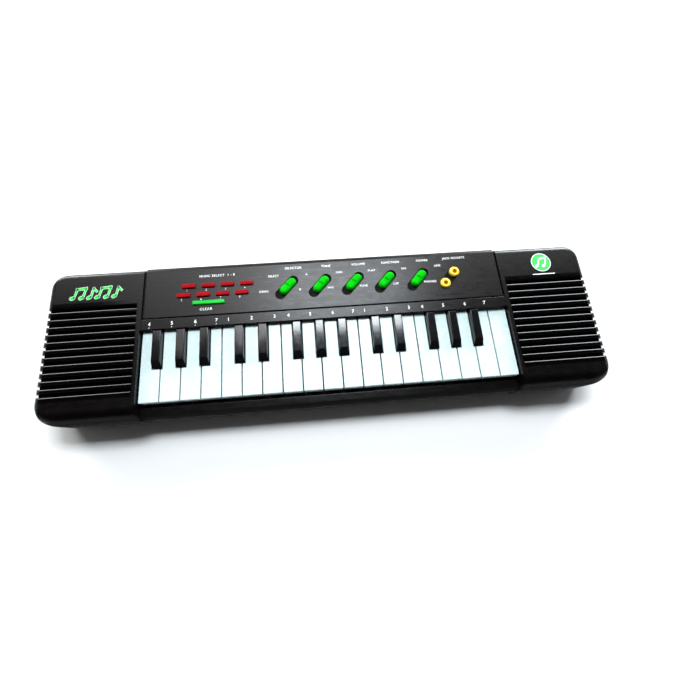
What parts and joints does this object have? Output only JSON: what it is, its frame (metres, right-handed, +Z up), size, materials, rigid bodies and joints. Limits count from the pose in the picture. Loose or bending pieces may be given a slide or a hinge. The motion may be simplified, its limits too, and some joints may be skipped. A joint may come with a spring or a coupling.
{
  "type": "toy electronic keyboard",
  "caption": "Mini electronic keyboard with end speaker grilles, a raised panel of song buttons, slanted slide knobs and two jacks, and piano keys hinged on a rod.",
  "frame": {"origin": "on the table plane, under the middle of the whole keyboard", "axes": "+X along the keys to the player's right, +Y from the player to the back, +Z up"},
  "size_m": [0.4274, 0.1184, 0.0374],
  "materials": {
    "case_black": "satin moulded black",
    "base_black": "fine-grained moulded black",
    "panel_black": "satin moulded black",
    "key_white": "glossy moulded white",
    "key_black": "glossy moulded black",
    "button_red": "glossy translucent red",
    "button_green": "glossy green",
    "knob_green": "glossy green",
    "jack_yellow": "glossy yellow",
    "steel": "bright zinc plate",
    "circuit_board": "brown phenolic board",
    "contact_rubber": "matte grey silicone",
    "speaker_black": "black basket and paper cone",
    "battery_jacket": "plain printed jacket"
  },
  "bodies": {
    "housing": {"top_case": "case_black", "bottom_case": "base_black", "control_panel": "panel_black", "jack_sockets": "jack_yellow", "key_rod": "steel", "key_contact_board": "circuit_board", "key_contact_rubber": "contact_rubber", "main_board": "circuit_board", "slide_switches": "steel", "speakers": "speaker_black", "batteries": "battery_jacket", "battery_contacts": "steel", "case_screws": "steel"},
    "battery_door": {"battery_door": "base_black"},
    "white_key_01": {"white_key_01": "key_white"},
    "white_key_02": {"white_key_02": "key_white"},
    "white_key_03": {"white_key_03": "key_white"},
    "white_key_04": {"white_key_04": "key_white"},
    "white_key_05": {"white_key_05": "key_white"},
    "white_key_06": {"white_key_06": "key_white"},
    "white_key_07": {"white_key_07": "key_white"},
    "white_key_08": {"white_key_08": "key_white"},
    "white_key_09": {"white_key_09": "key_white"},
    "white_key_10": {"white_key_10": "key_white"},
    "white_key_11": {"white_key_11": "key_white"},
    "white_key_12": {"white_key_12": "key_white"},
    "white_key_13": {"white_key_13": "key_white"},
    "white_key_14": {"white_key_14": "key_white"},
    "white_key_15": {"white_key_15": "key_white"},
    "white_key_16": {"white_key_16": "key_white"},
    "white_key_17": {"white_key_17": "key_white"},
    "white_key_18": {"white_key_18": "key_white"},
    "white_key_19": {"white_key_19": "key_white"},
    "black_key_01": {"black_key_01": "key_black"},
    "black_key_02": {"black_key_02": "key_black"},
    "black_key_03": {"black_key_03": "key_black"},
    "black_key_04": {"black_key_04": "key_black"},
    "black_key_05": {"black_key_05": "key_black"},
    "black_key_06": {"black_key_06": "key_black"},
    "black_key_07": {"black_key_07": "key_black"},
    "black_key_08": {"black_key_08": "key_black"},
    "black_key_09": {"black_key_09": "key_black"},
    "black_key_10": {"black_key_10": "key_black"},
    "black_key_11": {"black_key_11": "key_black"},
    "black_key_12": {"black_key_12": "key_black"},
    "black_key_13": {"black_key_13": "key_black"},
    "song_button_1": {"song_button_1": "button_red"},
    "song_button_2": {"song_button_2": "button_red"},
    "song_button_3": {"song_button_3": "button_red"},
    "song_button_4": {"song_button_4": "button_red"},
    "song_button_5": {"song_button_5": "button_red"},
    "song_button_6": {"song_button_6": "button_red"},
    "song_button_7": {"song_button_7": "button_red"},
    "song_button_8": {"song_button_8": "button_red"},
    "clear_button": {"clear_button": "button_green"},
    "select_knob": {"select_knob": "knob_green"},
    "tone_knob": {"tone_knob": "knob_green"},
    "volume_knob": {"volume_knob": "knob_green"},
    "function_knob": {"function_knob": "knob_green"},
    "power_knob": {"power_knob": "knob_green"}
  },
  "joints": [
    {"name": "white_key_01_hinge", "type": "hinge", "parent": "housing", "child": "white_key_01", "pos_m": [0, 0.013, 0.021], "axis": [1, 0, 0], "range_deg": [0, 3.5], "stiffness_Nm_per_rad": 0.3, "springref_deg": -8.59},
    {"name": "white_key_02_hinge", "type": "hinge", "parent": "housing", "child": "white_key_02", "pos_m": [0, 0.013, 0.021], "axis": [1, 0, 0], "range_deg": [0, 3.5], "stiffness_Nm_per_rad": 0.3, "springref_deg": -8.59},
    {"name": "white_key_03_hinge", "type": "hinge", "parent": "housing", "child": "white_key_03", "pos_m": [0, 0.013, 0.021], "axis": [1, 0, 0], "range_deg": [0, 3.5], "stiffness_Nm_per_rad": 0.3, "springref_deg": -8.59},
    {"name": "white_key_04_hinge", "type": "hinge", "parent": "housing", "child": "white_key_04", "pos_m": [0, 0.013, 0.021], "axis": [1, 0, 0], "range_deg": [0, 3.5], "stiffness_Nm_per_rad": 0.3, "springref_deg": -8.59},
    {"name": "white_key_05_hinge", "type": "hinge", "parent": "housing", "child": "white_key_05", "pos_m": [0, 0.013, 0.021], "axis": [1, 0, 0], "range_deg": [0, 3.5], "stiffness_Nm_per_rad": 0.3, "springref_deg": -8.59},
    {"name": "white_key_06_hinge", "type": "hinge", "parent": "housing", "child": "white_key_06", "pos_m": [0, 0.013, 0.021], "axis": [1, 0, 0], "range_deg": [0, 3.5], "stiffness_Nm_per_rad": 0.3, "springref_deg": -8.59},
    {"name": "white_key_07_hinge", "type": "hinge", "parent": "housing", "child": "white_key_07", "pos_m": [0, 0.013, 0.021], "axis": [1, 0, 0], "range_deg": [0, 3.5], "stiffness_Nm_per_rad": 0.3, "springref_deg": -8.59},
    {"name": "white_key_08_hinge", "type": "hinge", "parent": "housing", "child": "white_key_08", "pos_m": [0, 0.013, 0.021], "axis": [1, 0, 0], "range_deg": [0, 3.5], "stiffness_Nm_per_rad": 0.3, "springref_deg": -8.59},
    {"name": "white_key_09_hinge", "type": "hinge", "parent": "housing", "child": "white_key_09", "pos_m": [0, 0.013, 0.021], "axis": [1, 0, 0], "range_deg": [0, 3.5], "stiffness_Nm_per_rad": 0.3, "springref_deg": -8.59},
    {"name": "white_key_10_hinge", "type": "hinge", "parent": "housing", "child": "white_key_10", "pos_m": [0, 0.013, 0.021], "axis": [1, 0, 0], "range_deg": [0, 3.5], "stiffness_Nm_per_rad": 0.3, "springref_deg": -8.59},
    {"name": "white_key_11_hinge", "type": "hinge", "parent": "housing", "child": "white_key_11", "pos_m": [0, 0.013, 0.021], "axis": [1, 0, 0], "range_deg": [0, 3.5], "stiffness_Nm_per_rad": 0.3, "springref_deg": -8.59},
    {"name": "white_key_12_hinge", "type": "hinge", "parent": "housing", "child": "white_key_12", "pos_m": [0, 0.013, 0.021], "axis": [1, 0, 0], "range_deg": [0, 3.5], "stiffness_Nm_per_rad": 0.3, "springref_deg": -8.59},
    {"name": "white_key_13_hinge", "type": "hinge", "parent": "housing", "child": "white_key_13", "pos_m": [0, 0.013, 0.021], "axis": [1, 0, 0], "range_deg": [0, 3.5], "stiffness_Nm_per_rad": 0.3, "springref_deg": -8.59},
    {"name": "white_key_14_hinge", "type": "hinge", "parent": "housing", "child": "white_key_14", "pos_m": [0, 0.013, 0.021], "axis": [1, 0, 0], "range_deg": [0, 3.5], "stiffness_Nm_per_rad": 0.3, "springref_deg": -8.59},
    {"name": "white_key_15_hinge", "type": "hinge", "parent": "housing", "child": "white_key_15", "pos_m": [0, 0.013, 0.021], "axis": [1, 0, 0], "range_deg": [0, 3.5], "stiffness_Nm_per_rad": 0.3, "springref_deg": -8.59},
    {"name": "white_key_16_hinge", "type": "hinge", "parent": "housing", "child": "white_key_16", "pos_m": [0, 0.013, 0.021], "axis": [1, 0, 0], "range_deg": [0, 3.5], "stiffness_Nm_per_rad": 0.3, "springref_deg": -8.59},
    {"name": "white_key_17_hinge", "type": "hinge", "parent": "housing", "child": "white_key_17", "pos_m": [0, 0.013, 0.021], "axis": [1, 0, 0], "range_deg": [0, 3.5], "stiffness_Nm_per_rad": 0.3, "springref_deg": -8.59},
    {"name": "white_key_18_hinge", "type": "hinge", "parent": "housing", "child": "white_key_18", "pos_m": [0, 0.013, 0.021], "axis": [1, 0, 0], "range_deg": [0, 3.5], "stiffness_Nm_per_rad": 0.3, "springref_deg": -8.59},
    {"name": "white_key_19_hinge", "type": "hinge", "parent": "housing", "child": "white_key_19", "pos_m": [0, 0.013, 0.021], "axis": [1, 0, 0], "range_deg": [0, 3.5], "stiffness_Nm_per_rad": 0.3, "springref_deg": -8.59},
    {"name": "black_key_01_hinge", "type": "hinge", "parent": "housing", "child": "black_key_01", "pos_m": [0, 0.013, 0.021], "axis": [1, 0, 0], "range_deg": [0, 3.5], "stiffness_Nm_per_rad": 0.3, "springref_deg": -8.59},
    {"name": "black_key_02_hinge", "type": "hinge", "parent": "housing", "child": "black_key_02", "pos_m": [0, 0.013, 0.021], "axis": [1, 0, 0], "range_deg": [0, 3.5], "stiffness_Nm_per_rad": 0.3, "springref_deg": -8.59},
    {"name": "black_key_03_hinge", "type": "hinge", "parent": "housing", "child": "black_key_03", "pos_m": [0, 0.013, 0.021], "axis": [1, 0, 0], "range_deg": [0, 3.5], "stiffness_Nm_per_rad": 0.3, "springref_deg": -8.59},
    {"name": "black_key_04_hinge", "type": "hinge", "parent": "housing", "child": "black_key_04", "pos_m": [0, 0.013, 0.021], "axis": [1, 0, 0], "range_deg": [0, 3.5], "stiffness_Nm_per_rad": 0.3, "springref_deg": -8.59},
    {"name": "black_key_05_hinge", "type": "hinge", "parent": "housing", "child": "black_key_05", "pos_m": [0, 0.013, 0.021], "axis": [1, 0, 0], "range_deg": [0, 3.5], "stiffness_Nm_per_rad": 0.3, "springref_deg": -8.59},
    {"name": "black_key_06_hinge", "type": "hinge", "parent": "housing", "child": "black_key_06", "pos_m": [0, 0.013, 0.021], "axis": [1, 0, 0], "range_deg": [0, 3.5], "stiffness_Nm_per_rad": 0.3, "springref_deg": -8.59},
    {"name": "black_key_07_hinge", "type": "hinge", "parent": "housing", "child": "black_key_07", "pos_m": [0, 0.013, 0.021], "axis": [1, 0, 0], "range_deg": [0, 3.5], "stiffness_Nm_per_rad": 0.3, "springref_deg": -8.59},
    {"name": "black_key_08_hinge", "type": "hinge", "parent": "housing", "child": "black_key_08", "pos_m": [0, 0.013, 0.021], "axis": [1, 0, 0], "range_deg": [0, 3.5], "stiffness_Nm_per_rad": 0.3, "springref_deg": -8.59},
    {"name": "black_key_09_hinge", "type": "hinge", "parent": "housing", "child": "black_key_09", "pos_m": [0, 0.013, 0.021], "axis": [1, 0, 0], "range_deg": [0, 3.5], "stiffness_Nm_per_rad": 0.3, "springref_deg": -8.59},
    {"name": "black_key_10_hinge", "type": "hinge", "parent": "housing", "child": "black_key_10", "pos_m": [0, 0.013, 0.021], "axis": [1, 0, 0], "range_deg": [0, 3.5], "stiffness_Nm_per_rad": 0.3, "springref_deg": -8.59},
    {"name": "black_key_11_hinge", "type": "hinge", "parent": "housing", "child": "black_key_11", "pos_m": [0, 0.013, 0.021], "axis": [1, 0, 0], "range_deg": [0, 3.5], "stiffness_Nm_per_rad": 0.3, "springref_deg": -8.59},
    {"name": "black_key_12_hinge", "type": "hinge", "parent": "housing", "child": "black_key_12", "pos_m": [0, 0.013, 0.021], "axis": [1, 0, 0], "range_deg": [0, 3.5], "stiffness_Nm_per_rad": 0.3, "springref_deg": -8.59},
    {"name": "black_key_13_hinge", "type": "hinge", "parent": "housing", "child": "black_key_13", "pos_m": [0, 0.013, 0.021], "axis": [1, 0, 0], "range_deg": [0, 3.5], "stiffness_Nm_per_rad": 0.3, "springref_deg": -8.59},
    {"name": "song_button_1_press", "type": "slide", "parent": "housing", "child": "song_button_1", "axis": [0, 0, -1], "range_m": [0, 0.001], "stiffness_N_per_m": 80, "springref_m": -0.003},
    {"name": "song_button_2_press", "type": "slide", "parent": "housing", "child": "song_button_2", "axis": [0, 0, -1], "range_m": [0, 0.001], "stiffness_N_per_m": 80, "springref_m": -0.003},
    {"name": "song_button_3_press", "type": "slide", "parent": "housing", "child": "song_button_3", "axis": [0, 0, -1], "range_m": [0, 0.001], "stiffness_N_per_m": 80, "springref_m": -0.003},
    {"name": "song_button_4_press", "type": "slide", "parent": "housing", "child": "song_button_4", "axis": [0, 0, -1], "range_m": [0, 0.001], "stiffness_N_per_m": 80, "springref_m": -0.003},
    {"name": "song_button_5_press", "type": "slide", "parent": "housing", "child": "song_button_5", "axis": [0, 0, -1], "range_m": [0, 0.001], "stiffness_N_per_m": 80, "springref_m": -0.003},
    {"name": "song_button_6_press", "type": "slide", "parent": "housing", "child": "song_button_6", "axis": [0, 0, -1], "range_m": [0, 0.001], "stiffness_N_per_m": 80, "springref_m": -0.003},
    {"name": "song_button_7_press", "type": "slide", "parent": "housing", "child": "song_button_7", "axis": [0, 0, -1], "range_m": [0, 0.001], "stiffness_N_per_m": 80, "springref_m": -0.003},
    {"name": "song_button_8_press", "type": "slide", "parent": "housing", "child": "song_button_8", "axis": [0, 0, -1], "range_m": [0, 0.001], "stiffness_N_per_m": 80, "springref_m": -0.003},
    {"name": "clear_button_press", "type": "slide", "parent": "housing", "child": "clear_button", "axis": [0, 0, -1], "range_m": [0, 0.001], "stiffness_N_per_m": 80, "springref_m": -0.003},
    {"name": "select_knob_slide", "type": "slide", "parent": "housing", "child": "select_knob", "axis": [-0.682, -0.7314, 0], "range_m": [0, 0.0046]},
    {"name": "tone_knob_slide", "type": "slide", "parent": "housing", "child": "tone_knob", "axis": [-0.682, -0.7314, 0], "range_m": [0, 0.0046]},
    {"name": "volume_knob_slide", "type": "slide", "parent": "housing", "child": "volume_knob", "axis": [-0.682, -0.7314, 0], "range_m": [0, 0.0046]},
    {"name": "function_knob_slide", "type": "slide", "parent": "housing", "child": "function_knob", "axis": [-0.682, -0.7314, 0], "range_m": [0, 0.0046]},
    {"name": "power_knob_slide", "type": "slide", "parent": "housing", "child": "power_knob", "axis": [-0.682, -0.7314, 0], "range_m": [0, 0.0046]},
    {"name": "battery_door_slide", "type": "slide", "parent": "housing", "child": "battery_door", "axis": [0, 1, 0], "range_m": [0, 0.036]}
  ]
}
